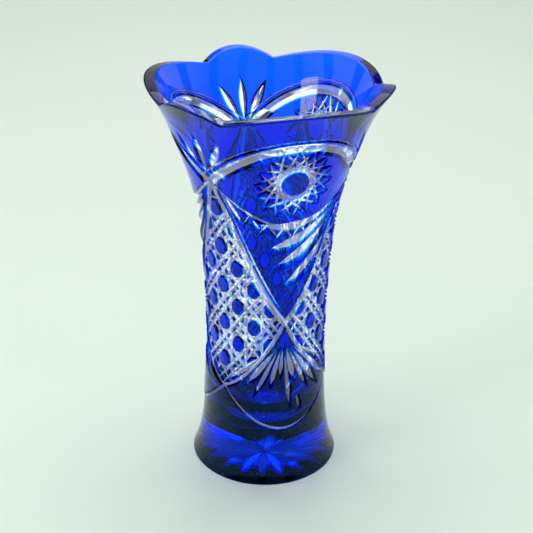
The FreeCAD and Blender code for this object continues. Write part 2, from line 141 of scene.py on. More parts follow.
class VaseCuts(bpy.types.PropertyGroup):
    """Where the wheel cuts run and how wide they are."""
    joint_height: length("Joint height", 201.0, "Where the arches and the V lines meet")
    arch_rise: length("Arch rise", 27.5, "Joint up to the middle of the arch's wide cut")
    lens_drop: length("Lens drop", 25.0, "Joint down to the arc under a lens")
    tip_height: length("Tip height", 110.0, "Where two V lines cross")
    corner_height: length("Corner height", 62.0, "Where petal lines and arcs meet")
    petal_drop: length("Petal drop", 25.0, "Corner down to the arc under a petal")
    line_sag: length("Line sag", 11.0, "How far a V line hangs below straight")
    petal_sag: length("Petal line sag", 7.0, "How far a petal line hangs below straight")
    depth: length("Full depth", 3.5, "Depth of the wide cuts")
    arch_width: length("Arch width", 8.2, "Width of the arch's wide cut")
    side_line: length("Side line", 2.0, "Width of the fine cut beside a wide one")
    arc_width: length("Arc width", 3.0, "Width of the arcs under lens and petal")
    line_width: length("V line width", 6.0, "Width of the V lines")
    petal_line: length("Petal line width", 5.0, "Width of the lines over a petal")
    star_rise: length("Star rise", 3.6, "Joint up to the middle of the star")
    star_reach: length("Star reach", 24.6, "Middle of the star to its points")
    chord_width: length("Star cut width", 3.9, "Width of the cuts that cross in the star")
    feather_width: length("Feather width", 10.0, "Widest part of a feather")
    fan_width: length("Fan width", 6.6, "Widest part of a split over a joint")
    split_width: length("Split width", 5.4, "Widest part of a split in a petal")
    button_turn: turn_angle("Button turn", 15.5, "Angle between columns of buttons")
    button_pitch: length("Button pitch", 25.6, "One button to the next above it")
    button_height: length("Button height", 107.0, "Height of the middle button")
    cane_width: length("Cane cut width", 4.3, "Width of each of a pair of slanted cuts")
    cane_fine: length("Fine cane cut", 3.4, "Width of the level and upright cuts")
    base_reach: length("Base star reach", 39.0, "Middle of the underside to its star's points")
    base_width: length("Base ray width", 7.0, "Widest part of a ray in the underside")
    star_points: IntProperty(name="Star points", description="Points of a panel's star",
                             default=16, min=8, max=32)
    base_rays: IntProperty(name="Base rays", description="Rays of the underside's star",
                           default=18, min=8, max=36)


class VaseLook(bpy.types.PropertyGroup):
    """Colours of the glass and of the studio."""
    crystal: colour("Crystal", (0.985, 0.995, 0.99), "Tint of the clear crystal")
    cobalt: colour("Cobalt surface", (0.02, 0.42, 0.90), "Tint that the thinnest casing keeps")
    cobalt_body: colour("Cobalt body", (0.0, 0.48, 0.945), "What a thick casing lets through")
    cobalt_density: FloatProperty(name="Cobalt density", description="Strength of the casing's "
                                  "colour per metre of glass", default=3300.0, min=0.0)
    cobalt_mirror: colour("Cobalt mirror", (0.12, 0.4, 1.0), "Tint of light off its outside")
    crystal_ior: FloatProperty(name="Crystal IOR", description="Bending power of the glass",
                               default=1.545, min=1.0, max=2.0)
    floor: colour("Floor", (0.74, 0.83, 0.745), "Pale sheet that the vase stands on")
    sky: colour("Backdrop", (0.79, 0.90, 0.80), "Colour of the backdrop")
    sky_power: amount("Backdrop strength", 1.0, "Brightness of the backdrop as seen")
    wall_power: amount("Wall strength", 0.6, "Light from the wall behind the vase")
    room_power: amount("Room strength", 0.2, "Light from the room in front of it")
    through_boost: amount("Lift through glass", 5.6, "Extra light seen through the glass")
    matte_boost: amount("Lift on matte", 2.65, "Extra light on the floor and satin cuts")
    # Painted glow: light painted onto the floor where it is seen through the glass; the floor is no
    # lamp.
    painted_floor_glow: amount("Floor lift", 1.3, "Extra light from the floor seen through the glass")
    cut_clear: amount("Cut clarity", 0.64, "How clear the satin bottoms of the cuts are")
    flags: amount("Flags", 9.0, "How many dark flags stand round the vase")
    flag_depth: amount("Flag depth", 0.08, "Light that a flag still lets by")


# ---------------------------------------------------------------- the turned form

def spline(points, samples=4001):
    """A clamped cubic B-spline with these control points, as sampled points."""
    points = np.array(points, float)
    count = len(points)
    knots = np.concatenate([np.zeros(3), np.linspace(0, 1, count - 2), np.ones(3)])
    at = np.linspace(0, 1 - 1e-9, samples)
    basis = [((knots[i] <= at) & (at < knots[i + 1])).astype(float)
             for i in range(len(knots) - 1)]
    for degree in (1, 2, 3):
        raised = []
        for i in range(len(basis) - 1):
            value = np.zeros(samples)
            rise, fall = knots[i + degree] - knots[i], knots[i + degree + 1] - knots[i + 1]
            if rise > 0:
                value += (at - knots[i]) / rise * basis[i]
            if fall > 0:
                value += (knots[i + degree + 1] - at) / fall * basis[i + 1]
            raised.append(value)
        basis = raised
    return sum(np.outer(weight, point) for weight, point in zip(basis, points))


class Form:
    """Radii, slopes and rim of the turned vase, worked out from the properties."""

    def __init__(self, scene):
        form = scene.vase_form
        self.casing, self.seam, self.step = form.casing, form.seam, form.foot_step
        self.height = CAD_BOX[1].z
        self.foot_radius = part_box("foot_casing")[1].x + self.step
        self.drop = form.scallop_drop
        self.wide = math.degrees(form.wide_scallop)
        self.edge_round = form.edge_round
        top = self.height + form.lip_spare
        middle = [(form.ankle_radius, form.ankle_height), (form.stem_radius, form.stem_height),
                  (form.waist_radius, form.waist_height), (form.belly_radius, form.belly_height),
                  (form.shoulder_radius, form.shoulder_height),
                  (form.neck_radius, form.neck_height), (form.collar_radius, form.collar_height)]
        outer = spline([(self.foot_radius, 0.0)] + middle + [(form.lip_radius, top)])
        self.radii, self.heights = outer[:, 0], outer[:, 1]
        self.slopes = np.gradient(self.radii, self.heights)
        waist = form.waist_radius - form.body_wall
        walls = [(radius - form.body_wall, height) for radius, height in middle[2:6]]
        self.cavity = spline([(0.0, form.floor_height), (waist, form.floor_height)] + walls
                             + [(form.collar_radius - form.collar_wall, form.collar_height),
                                (form.lip_radius - form.rim_wall, top)])

    def radius(self, height):
        return np.interp(height, self.heights, self.radii)

    def slope(self, height):
        return np.interp(height, self.heights, self.slopes)

    def cavity_radius(self, height):
        return np.interp(height, self.cavity[:, 1], self.cavity[:, 0])

    def rim_top(self, turn, radius):
        """Height of the scalloped rim at a turn and radius."""
        local = (turn + HALF) % SECTOR - HALF
        wide = np.abs(local) <= self.wide / 2
        offset = np.where(wide, np.abs(local), HALF - np.abs(local))
        span = np.where(wide, self.wide, SECTOR - self.wide) / 2
        chord = self.radius(self.height) * np.sin(np.radians(span))
        arch = (chord ** 2 + self.drop ** 2) / (2 * self.drop)
        across = radius * np.sin(np.radians(offset))
        return self.height - arch + np.sqrt(np.maximum(arch ** 2 - across ** 2, 0))

    def place(self, turn, height, lift=0.0):
        """Points over the outer surface at turns and heights, and the normals there."""
        turn, height = np.broadcast_arrays(np.asarray(turn, float), np.asarray(height, float))
        angle = np.radians(FRONT + turn)
        slope = self.slope(height)
        scale = 1 / np.sqrt(1 + slope ** 2)
        around = np.stack([np.cos(angle), np.sin(angle), np.zeros_like(angle)], -1)
        up = np.array([0.0, 0.0, 1.0])
        normal = around * scale[..., None] - up * (slope * scale)[..., None]
        point = around * self.radius(height)[..., None] + up * height[..., None]
        return point + normal * np.asarray(lift)[..., None], normal

    def spread(self, distance, height):
        """Degrees that a distance round the outside spans at a height."""
        return np.degrees(distance / self.radius(height))


# ---------------------------------------------------------------- meshes

def make_mesh(name, points, corners, sizes, patches):
    """A mesh from points, each face's corners in a row, the faces' sizes and patches."""
    mesh = bpy.data.meshes.new(name)
    mesh.vertices.add(len(points))
    mesh.vertices.foreach_set("co", np.asarray(points, np.float32).ravel())
    mesh.loops.add(len(corners))
    mesh.loops.foreach_set("vertex_index", np.asarray(corners, np.int32))
    mesh.polygons.add(len(sizes))
    starts = np.concatenate([[0], np.cumsum(sizes)[:-1]])
    mesh.polygons.foreach_set("loop_start", starts.astype(np.int32))
    mesh.attributes.new("patch", "INT", "FACE").data.foreach_set(
        "value", np.asarray(patches, np.int32))
    mesh.update(calc_edges=True)
    return mesh


def lathe(name, rings, patches, low, high):
    """A closed mesh from rings of points, with a point of the axis at either end."""
    columns = len(rings[0])
    points = np.concatenate([[low]] + list(rings) + [[high]])
    index = 1 + np.arange(len(rings) * columns).reshape(len(rings), columns)
    ahead = np.roll(index, -1, axis=1)
    walls = np.stack([index[:-1], ahead[:-1], ahead[1:], index[1:]], -1).reshape(-1, 4)
    first = np.stack([np.zeros(columns, int), ahead[0], index[0]], -1)
    last = np.stack([np.full(columns, len(points) - 1), index[-1], ahead[-1]], -1)
    corners = np.concatenate([walls.ravel(), first.ravel(), last.ravel()])
    sizes = [4] * len(walls) + [3] * (2 * columns)
    kinds = np.repeat(patches[1:-1], columns).tolist() + [patches[0]] * columns
    kinds += [patches[-1]] * columns
    return make_mesh(name, points, corners, sizes, kinds)


def ring(radius, height, turns):
    """One ring of points; radius and height may change round it."""
    angle = np.radians(FRONT + turns)
    radius, height = np.broadcast_to(radius, turns.shape), np.broadcast_to(height, turns.shape)
    return np.stack([radius * np.cos(angle), radius * np.sin(angle), height], -1)


def bezier(start, bend, end, steps):
    """Points of a quadratic curve after its start, up to and with its end."""
    for step in range(1, steps + 1):
        t = step / steps
        yield tuple((1 - t) ** 2 * a + 2 * t * (1 - t) * b + t * t * c
                    for a, b, c in zip(start, bend, end))


BODY_ROWS, LIP_ROWS, CAVITY_ROWS, DISC_ROWS, ROUND_ROWS = 104, 9, 84, 8, 5
LIP_START = 0.90        # share of the height where rows begin to follow the scallops


def side_heights(form, turns, bottom, inset):
    """Heights of the rings up a side, and the height and radius where it meets the rim."""
    knee = LIP_START * form.height
    top = np.full(turns.shape, form.height)
    for _ in range(4):
        radius = form.radius(top) - inset
        top = form.rim_top(turns, radius)
    rows = list(np.linspace(bottom, knee, BODY_ROWS))
    return [np.full(turns.shape, row) for row in rows], knee, top


def casing_mesh(form):
    """The whole cobalt casing before cutting: a cup with a rounded lip."""
    turns = np.arange(COLUMNS) * 360.0 / COLUMNS
    seam = form.seam / 2
    rings, patches = [], []
    foot = form.foot_radius
    edge = 0.8 * MM
    for share in np.linspace(0, 1, DISC_ROWS + 1)[1:]:
        rings.append(ring(share * (foot - edge), 0.0, turns))
        patches.append(OUTSIDE)
    body, knee, top = side_heights(form, turns, edge, 0.0)
    for radius, height in bezier((foot - edge, 0.0), (foot, 0.0),
                                 (form.radius(edge), edge), 3):
        rings.append(ring(radius, height, turns))
        patches.append(OUTSIDE)
    for height in body[1:]:
        rings.append(ring(form.radius(height), height, turns))
        patches.append(OUTSIDE)
    shoulder = top - form.casing
    for share in np.linspace(0, 1, LIP_ROWS + 1)[1:]:
        height = knee + share * (shoulder - knee)
        rings.append(ring(form.radius(height), height, turns))
        patches.append(OUTSIDE)
    inner_top = form.rim_top(turns, form.radius(top) - form.casing)
    start = (form.radius(shoulder), shoulder)
    corner = (form.radius(top), top)
    end = (form.radius(inner_top) - form.casing + seam, inner_top)
    for radius, height in bezier(start, corner, end, ROUND_ROWS):
        rings.append(ring(radius, height, turns))
        patches.append(EDGE)
    inside = side_heights(form, turns, form.casing, form.casing)[0]
    for share in np.linspace(1, 0, LIP_ROWS + 1)[1:]:
        height = knee + share * (inner_top - knee)
        rings.append(ring(form.radius(height) - form.casing + seam, height, turns))
        patches.append(FUSED)
    for height in inside[-2::-1]:
        low = height == form.casing
        rings.append(ring(form.radius(height) - form.casing + seam,
                          np.where(low, height - seam, height), turns))
        patches.append(FUSED)
    radius = form.radius(form.casing) - form.casing + seam
    for share in np.linspace(1, 0, DISC_ROWS + 1)[1:-1]:
        rings.append(ring(share * radius, form.casing - seam, turns))
        patches.append(FUSED)
    patches.append(FUSED)
    return lathe("casing", rings, patches, (0, 0, 0), (0, 0, form.casing - seam))


def crystal_mesh(form):
    """The whole clear crystal before cutting, with its cavity."""
    turns = np.arange(COLUMNS) * 360.0 / COLUMNS
    seam = form.seam / 2
    base = form.casing + seam
    rings, patches = [], []
    foot = form.radius(base) - form.casing - seam
    for share in np.linspace(0, 1, DISC_ROWS + 1)[1:]:
        rings.append(ring(share * foot, base, turns))
        patches.append(FUSED)
    body, knee, top = side_heights(form, turns, base, form.casing)
    for height in body[1:]:
        rings.append(ring(form.radius(height) - form.casing - seam, height, turns))
        patches.append(FUSED)
    for share in np.linspace(0, 1, LIP_ROWS + 1)[1:]:
        height = knee + share * (top - knee)
        rings.append(ring(form.radius(height) - form.casing - seam, height, turns))
        patches.append(FUSED)
    inner = top
    for _ in range(4):
        inner = form.rim_top(turns, form.cavity_radius(inner))
    outer_radius, inner_radius = form.radius(top) - form.casing, form.cavity_radius(inner)
    turn_in = form.edge_round / (outer_radius - inner_radius)
    for share in np.linspace(0, 1, 4)[1:]:
        reach = share * (1 - turn_in)
        rings.append(ring(outer_radius + reach * (inner_radius - outer_radius),
                          top + reach * (inner - top), turns))
        patches.append(EDGE)
    start = (outer_radius + (1 - turn_in) * (inner_radius - outer_radius),
             top + (1 - turn_in) * (inner - top))
    below = inner - form.edge_round
    for radius, height in bezier(start, (inner_radius, inner),
                                 (form.cavity_radius(below), below), ROUND_ROWS):
        rings.append(ring(radius, height, turns))
        patches.append(EDGE)
    for share in np.linspace(1, 0, LIP_ROWS + 1)[1:]:
        height = knee + share * (below - knee)
        rings.append(ring(form.cavity_radius(height), height, turns))
        patches.append(CAVITY)
    line = form.cavity[form.cavity[:, 1] < knee][::-1]
    walked = np.concatenate([[0], np.cumsum(np.linalg.norm(np.diff(line, axis=0), axis=1))])
    for distance in np.linspace(0, walked[-1], CAVITY_ROWS + 1)[1:-1]:
        radius, height = (np.interp(distance, walked, line[:, axis]) for axis in (0, 1))
        rings.append(ring(radius, height, turns))
        patches.append(CAVITY)
    patches.append(CAVITY)
    return lathe("crystal", rings, patches, (0, 0, base), (0, 0, form.cavity[0, 1]))


# ---------------------------------------------------------------- wheels

OVER = 1.2 * MM         # how far a wheel stands clear of the surface
LIFT = 0.3 * MM         # how far a wheel has left the surface at the tip of a tapered cut


class Wheels:
    """Collects the V-shaped cutters; every cut is repeated in each sector."""

    def __init__(self, form):
        self.form = form
        self.meshes = []
        self.flank = FIRST_FLANK

    def strip(self, points, normals, depths, slope, skew):
        """One closed cutter: a V whose bottom runs under the points."""
        ahead = np.gradient(points, axis=0)
        across = np.cross(normals, ahead)
        across /= np.linalg.norm(across, axis=1)[:, None]
        wide = ((depths + OVER) * slope)[:, None]
        shift = across * wide * skew
        rings = np.stack([points - normals * depths[:, None] + shift,
                          points + normals * OVER + across * wide,
                          points + normals * OVER - across * wide], axis=1)
        count = len(points)
        index = np.arange(count * 3).reshape(count, 3)
        corners, kinds = [], []
        for a, b, kind in ((0, 1, 0), (1, 2, 1), (2, 0, 2)):
            corners.append(np.stack([index[:-1, a], index[:-1, b], index[1:, b],
                                     index[1:, a]], -1).reshape(-1, 4))
            kinds += [self.flank + kind] * (count - 1)
        walls = np.concatenate(corners)
        ends = [index[0, 2], index[0, 1], index[0, 0], index[-1, 0], index[-1, 1], index[-1, 2]]
        corners = np.concatenate([walls.ravel(), ends])
        kinds += [self.flank + 3, self.flank + 4]
        mesh = make_mesh("wheel", rings.reshape(-1, 3), corners, [4] * len(walls) + [3, 3], kinds)
        if signed_volume(mesh) < 0:
            mesh.flip_normals()
        self.meshes.append(mesh)
        self.flank += 5

    def run(self, path, width, depth, shares=None, skew=0.0, steps=24):
        """A cut along path(s) for s from 0 to 1; shares(s) scales its depth."""
        along = np.linspace(0, 1, steps + 1)
        turn, height = path(along)
        share = np.ones_like(along) if shares is None else shares(along)
        depths = share * (depth + LIFT) - LIFT if shares is not None else share * depth
        for sector in range(SECTORS):
            points, normals = self.form.place(turn + sector * SECTOR, height + 0 * turn)
            self.strip(points, normals, depths, width / 2 / depth, skew)


def signed_volume(mesh):
    """Six times the volume inside a closed mesh, below zero if it is inside out."""
    points = np.zeros(len(mesh.vertices) * 3)
    mesh.vertices.foreach_get("co", points)
    points = points.reshape(-1, 3)
    mesh.calc_loop_triangles()
    corners = np.zeros(len(mesh.loop_triangles) * 3, np.int32)
    mesh.loop_triangles.foreach_get("vertices", corners)
    a, b, c = (points[corners.reshape(-1, 3)[:, side]] for side in range(3))
    return float(np.einsum("ij,ij->i", a, np.cross(b, c)).sum())


def leaf(fullest=0.4, root=0.3):
    """Depth shares that swell from root to full and run out to nothing at the far end."""
    def shares(along):
        rising = root + (1 - root) * np.sin(np.pi / 2 * np.clip(along / fullest, 0, 1))
        falling = np.cos(np.pi / 2 * np.clip((along - fullest) / (1 - fullest), 0, 1))
        return np.where(along < fullest, rising, falling)
    return shares


def spindle(power=0.6):
    """Depth shares that run out to nothing at both ends."""
    return lambda along: np.clip(np.sin(np.pi * along), 0, 1) ** power


def bow(start, bend, end):
    """A curved path from start to end, pulled towards bend; all are turn, height."""
    def path(along):
        back = 1 - along
        return tuple(back * back * a + 2 * back * along * b + along * along * c
                     for a, b, c in zip(start, bend, end))
    return path


def straight(start, end):
    return bow(start, tuple((a + b) / 2 for a, b in zip(start, end)), end)


class Layout:
    """Heights of the bounding cuts at a turn, and the paths along them."""

    def __init__(self, scene):
        cuts = scene.vase_cuts
        self.joint, self.tip, self.corner = cuts.joint_height, cuts.tip_height, cuts.corner_height
        self.arch_top = self.joint + cuts.arch_rise
        self.lens_low = self.joint - cuts.lens_drop
        self.petal_low = self.corner - cuts.petal_drop
        self.star_middle = self.joint + cuts.star_rise
        self.line_sag, self.petal_sag = cuts.line_sag, cuts.petal_sag

    def arc(self, ends, middle, turn):
        return ends + (middle - ends) * np.cos(np.pi * turn / SECTOR)

    def line(self, turn):
        """Height of the V line, turn from the middle of a lens."""
        share = 1 - np.abs(turn) / HALF
        return (self.joint + (self.tip - self.joint) * share
                - 4 * self.line_sag * share * (1 - share))

    def petal_line(self, turn):
        share = np.abs(turn) / HALF
        return (self.tip + (self.corner - self.tip) * share
                - 4 * self.petal_sag * share * (1 - share))

    def cane(self, turn):
        """Lowest and highest point of a cane field, turn from its own middle."""
        other = HALF - np.abs(turn)
        return self.petal_line(other), self.line(other)


def along_turn(height_at, first, last):
    """A path from one turn to another whose height is a function of the turn."""
    def path(along):
        turn = first + (last - first) * along
        return turn, height_at(turn)
    return path


def beside(form, path, offset):
    """A path moved sideways over the surface, to its left as it runs."""
    def moved(along):
        turn, height = path(along)
        radius = form.radius(height)
        rise = np.sqrt(1 + form.slope(height) ** 2)
        step = 1e-3
        turn_on, height_on = path(along + step)
        run = np.radians(turn_on - turn) * radius
        climb = (height_on - height) * rise
        size = np.hypot(run, climb)
        return (turn - np.degrees(climb / size * offset / radius),
                height + run / size * offset / rise)
    return moved


def bounding_cuts(wheels, cuts, layout):
    """Arches, arcs, V lines and petal lines: what parts one panel from the next."""
    form, depth = wheels.form, cuts.depth
    over = 2.0
    arch = along_turn(lambda turn: layout.arc(layout.joint, layout.arch_top, turn),
                      -HALF - over, HALF + over)
    wheels.run(beside(form, arch, -0.6 * MM), cuts.arch_width, depth, steps=48)
    side = (cuts.arch_width + cuts.side_line) / 2
    wheels.run(beside(form, arch, side), cuts.side_line, 0.75 * depth, steps=48)
    arc = along_turn(lambda turn: layout.arc(layout.joint, layout.lens_low, turn),
                     -HALF - over, HALF + over)
    wheels.run(arc, cuts.arc_width, 0.85 * depth, steps=48)
    arc = along_turn(lambda turn: layout.arc(layout.corner, layout.petal_low, turn),
                     -HALF - over, HALF + over)
    wheels.run(arc, cuts.arc_width, 0.85 * depth, steps=48)
    for sign in (-1, 1):
        line = along_turn(layout.line, sign * HALF, 0.0)
        wheels.run(line, cuts.line_width, depth, steps=36)
        gap = sign * (cuts.line_width + cuts.side_line) / 2
        wheels.run(beside(form, line, -gap), cuts.side_line, 0.75 * depth,
                   shares=lambda along: np.clip(3 * (1 - along), 0, 1), steps=36)
        petal = along_turn(layout.petal_line, -sign * 2.5, sign * (HALF + over))
        wheels.run(petal, cuts.petal_line, 0.9 * depth, steps=36,
                   shares=lambda along: 1 - 0.25 * along)


def star_cuts(wheels, cuts, layout):
    """Long cuts from point to point that cross round the button of a star."""
    form = wheels.form
    points = cuts.star_points
    skip = round(points * 0.375)
    middle, reach = layout.star_middle, cuts.star_reach
    lean = float(np.sqrt(1 + form.slope(middle) ** 2))

    def spot(index):
        angle = 2 * math.pi * index / points + math.pi / 2
        return reach * math.cos(angle), reach * math.sin(angle)

    for index in range(points):
        (x0, y0), (x1, y1) = spot(index), spot(index + skip)

        def path(along, x0=x0, y0=y0, x1=x1, y1=y1):
            height = middle + (y0 + (y1 - y0) * along) / lean
            return form.spread(x0 + (x1 - x0) * along, height), height
        wheels.run(path, cuts.chord_width, 0.86 * cuts.depth, shares=spindle(0.45), steps=20)


def feather_cuts(wheels, cuts, layout):
    """Feathers from the right-hand joint, the leaf beside the left-hand one, and ticks."""
    low = layout.lens_low
    span = low - layout.tip
    depth = 0.92 * cuts.depth
    feathers = [((49, low + 0.20 * span), (10, low - 0.16 * span), (-37, low + 0.04 * span), 0.9),
                ((49, low + 0.14 * span), (13, low - 0.22 * span), (-25, low - 0.265 * span), 1.0),
                ((48, low + 0.08 * span), (19, low - 0.32 * span), (-18, low - 0.455 * span), 0.95),
                ((46, low - 0.02 * span), (22, low - 0.50 * span), (-7, low - 0.64 * span), 0.9)]
    for start, bend, end, share in feathers:
        wheels.run(bow(start, bend, end), cuts.feather_width * share, depth,
                   shares=leaf(0.55, 0.25), skew=-0.45, steps=30)
    wheels.run(straight((33, low - 0.30 * span), (25, low - 0.37 * span)), 2.6 * MM, depth,
               shares=spindle(), steps=8)
    wheels.run(bow((-52, low + 0.28 * span), (-45, low + 0.16 * span), (-37, low - 0.01 * span)),
               5.2 * MM, depth, shares=spindle(0.8), skew=0.3, steps=14)
    for tick in range(10):
        turn = -33 + 6.4 * tick
        top = layout.arc(layout.joint, low, turn)
        lean = 4.0 if tick % 2 else -4.0
        wheels.run(straight((turn - lean, top), (turn + lean, top - 0.13 * span)), 2.4 * MM,
                   0.8 * depth, shares=spindle(0.5), steps=8)


def fan_cuts(wheels, cuts, layout):
    """Splits that fan upwards from each joint into the rim band."""
    foot = layout.joint + 3.5 * MM
    depth = 0.92 * cuts.depth
    for lean in (-1, 0, 1):
        head = layout.arch_top + (5.0 if lean == 0 else 2.2) * MM
        wheels.run(straight((HALF + lean * 3.4, foot + 2 * MM), (HALF + lean * 16.5, head)),
                   cuts.fan_width, depth, shares=leaf(0.5, 0.3), steps=14)


def petal_cuts(wheels, cuts, layout):
    """Splits that fan downwards from a petal's apex."""
    form, depth = wheels.form, 0.92 * cuts.depth
    apex = layout.tip - 11 * MM
    reach = apex - layout.petal_low
    splits = [(-50, 0.82, 1.0), (-37, 0.60, 1.25), (-26, 0.66, 0.8), (-15, 0.52, 1.0),
              (-5, 0.40, 0.8), (5, 0.74, 0.85), (14, 0.46, 1.3), (25, 0.62, 0.9),
              (35, 0.72, 1.2), (46, 0.80, 1.0), (56, 0.62, 0.8)]
    for lean, share, swell in splits:
        tilt = math.radians(lean)
        ends = []
        for distance in (0.07 * reach, min(1.12 * share, 0.86) * reach):
            height = apex - distance * math.cos(tilt)
            ends.append((float(form.spread(distance * math.sin(tilt), height)), height))
        wheels.run(straight(*ends), cuts.split_width * swell, depth,
                   shares=leaf(0.62, 0.2), steps=12)
    wheels.run(straight((13, apex - 0.62 * reach), (17, apex - 0.83 * reach)), 3.4 * MM, depth,
               shares=spindle(), steps=8)


def cane_cuts(wheels, cuts, layout):
    """Pairs of slanted cuts, and level and upright ones, that leave eight-sided buttons."""
    form = wheels.form
    turn_step, rise = math.degrees(cuts.button_turn), cuts.button_pitch / 2
    depth = 0.9 * cuts.depth
    pair = cuts.cane_width * 0.98
    scan = np.linspace(-HALF, HALF, 481)
    low, high = layout.cane(scan)

    def shares_of(path):
        def shares(along):
            turn, height = path(along)
            floor = layout.cane(turn - HALF)[0]
            return 0.55 + 0.45 * np.clip((height - floor) / (14 * MM), 0, 1)
        return shares

    def cut(height_at, width, offsets):
        inside = (height_at(scan) > low) & (height_at(scan) < high)
        if inside.sum() < 20:
            return
        first, last = scan[inside][0], scan[inside][-1]
        path = along_turn(lambda turn: height_at(turn - HALF), HALF + first, HALF + last)
        for offset in offsets:
            moved = beside(form, path, offset)
            wheels.run(moved, width, depth, shares=shares_of(moved), steps=22)

    for row in range(-4, 5):
        level = cuts.button_height + (row + 0.5) * cuts.button_pitch
        for slant in (-rise / turn_step, rise / turn_step):
            cut(lambda turn, level=level, slant=slant: level + slant * turn,
                cuts.cane_width, (-pair / 2, pair / 2))
    for row in range(-5, 9):
        level = cuts.button_height + (row + 0.5) * rise
        cut(lambda turn, level=level: level + 0 * turn, cuts.cane_fine, (0.0,))
    for column in range(-4, 4):
        turn = (column + 0.5) * turn_step
        bottom, top = layout.cane(turn)
        if top - bottom < 12 * MM:
            continue
        path = straight((HALF + turn, float(bottom)), (HALF + turn, float(top)))
        wheels.run(path, cuts.cane_fine, depth, shares=shares_of(path), steps=22)


def base_cuts(wheels, cuts):
    """Leaf-shaped rays in the underside, with a fine cut between each two."""
    along = np.linspace(0, 1, 15)
    down = np.tile([0.0, 0.0, -1.0], (len(along), 1))
    depth = cuts.depth
    for index in range(2 * cuts.base_rays):
        angle = math.pi * (index + 1) / cuts.base_rays
        out = np.array([math.cos(angle), math.sin(angle), 0.0])
        fine = index % 2 == 1
        reach = cuts.base_reach * (0.72 if fine else 1.0)
        near = 0.45 if fine else 0.05
        points = out * (reach * (near + (1 - near) * along))[:, None]
        shares = spindle(0.7)(0.12 + 0.88 * along)
        width = cuts.base_width * (0.35 if fine else 1.0)
        deep = depth * (0.6 if fine else 1.0)
        wheels.strip(points, down, shares * (deep + LIFT) - LIFT, width / 2 / deep, 0.0)


def foot_wheel(form, layout):
    """The ring of glass ground off round the foot, up to the arcs under the petals."""
    turns = np.arange(COLUMNS * 2) * 180.0 / COLUMNS
    local = (turns + HALF) % SECTOR - HALF
    top = layout.arc(layout.corner, layout.petal_low, local)
    rings = []
    for height in [np.full(turns.shape, -OVER), top + 0.4 * MM]:
        rings.append(ring(form.radius(np.maximum(height, 0)) + OVER, height, turns))
    shares = np.linspace(1, 0, 41)
    for share in shares:
        height = share * top - (1 - share) * OVER
        rings.append(ring(form.radius(np.maximum(height, 0)) - form.step, height, turns))
    index = np.arange(len(rings) * len(turns)).reshape(len(rings), -1)
    ahead = np.roll(index, -1, axis=1)
    over = np.roll(index, -1, axis=0)
    over_ahead = np.roll(ahead, -1, axis=0)
    walls = np.stack([index, ahead, over_ahead, over], -1)
    kinds = [FIRST_FLANK - 2, FIRST_FLANK - 1] + [FIRST_FLANK - 3] * (len(rings) - 3)
    patches = np.repeat(kinds + [FIRST_FLANK - 4], len(turns))
    mesh = make_mesh("foot_wheel", np.concatenate(rings), walls.reshape(-1),
                     [4] * (walls.size // 4), patches)
    if signed_volume(mesh) < 0:
        mesh.flip_normals()
    return mesh


# ---------------------------------------------------------------- cutting and sorting

def carve(blank, wheels):
    """The mesh of a blank less every wheel."""
    scene = bpy.context.scene
    body = bpy.data.objects.new("blank", blank)
    scene.collection.objects.link(body)
    tray = bpy.data.collections.new("wheels")
    tools = []
    for mesh in wheels:
        tool = bpy.data.objects.new("wheel", mesh)
        tray.objects.link(tool)
        tools.append(tool)
    cut = body.modifiers.new("cut", "BOOLEAN")
    cut.operation = "DIFFERENCE"
    cut.operand_type = "COLLECTION"
    cut.collection = tray
    cut.solver = "MANIFOLD"
    graph = bpy.context.evaluated_depsgraph_get()
    result = bpy.data.meshes.new_from_object(body.evaluated_get(graph))
    bpy.data.objects.remove(body)
    for tool in tools:
        bpy.data.objects.remove(tool)
    bpy.data.collections.remove(tray)
    return result


def arrays_of(mesh):
    """Points, corners, sizes and patches of a mesh."""
    points = np.zeros(len(mesh.vertices) * 3)
    mesh.vertices.foreach_get("co", points)
    corners = np.zeros(len(mesh.loops), np.int32)
    mesh.loops.foreach_get("vertex_index", corners)
    sizes = np.zeros(len(mesh.polygons), np.int32)
    mesh.polygons.foreach_get("loop_total", sizes)
    patches = np.zeros(len(mesh.polygons), np.int32)
    mesh.attributes["patch"].data.foreach_get("value", patches)
    return points.reshape(-1, 3), corners, sizes, patches


def part_labels(count, corners, sizes):
    """A number for each point, the same for all points of one loose part."""
    starts = np.concatenate([[0], np.cumsum(sizes)[:-1]])
    first = np.repeat(corners[starts], sizes)
    labels = np.arange(count)
    while True:
        least = np.minimum(labels[first], labels[corners])
        np.minimum.at(labels, first, least)
        np.minimum.at(labels, corners, least)
        labels = labels[labels]
        if np.array_equal(labels[first], labels[corners]):
            return labels


def home_of(layout, cuts, form, points):
    """The name of the panel that a loose part of the casing belongs to."""
    height = points[:, 2].mean()
    pointing = points[:, :2] / np.linalg.norm(points[:, :2], axis=1).max()
    heading = pointing.mean(0)
    if np.hypot(*heading) < 0.2:
        return "rim" if height > layout.joint else "foot"
    turn = math.degrees(math.atan2(heading[1], heading[0])) - FRONT
    sector = int(round(turn / SECTOR)) % SECTORS
    local = (turn + HALF) % SECTOR - HALF
    if height > layout.arc(layout.joint, layout.arch_top, local):
        return "rim"
    if height > layout.arc(layout.joint, layout.lens_low, local):
        across = math.radians(local) * form.radius(height)
        central = math.hypot(across, height - layout.star_middle) < 0.1 * cuts.star_reach
        if central and np.ptp(points[:, 2]) < cuts.star_reach:
            return "button_%d" % (sector + 1)
        return "lens_%d" % (sector + 1)
    if height > layout.line(local):
        return "v_%d" % (sector + 1)
    if height > layout.petal_line(local):
        field = int(round((turn - HALF) / SECTOR)) % SECTORS
        return "cane_%d" % (field + 1)
    if height > layout.arc(layout.corner, layout.petal_low, local):
        return "petal_%d" % (sector + 1)
    return "foot"


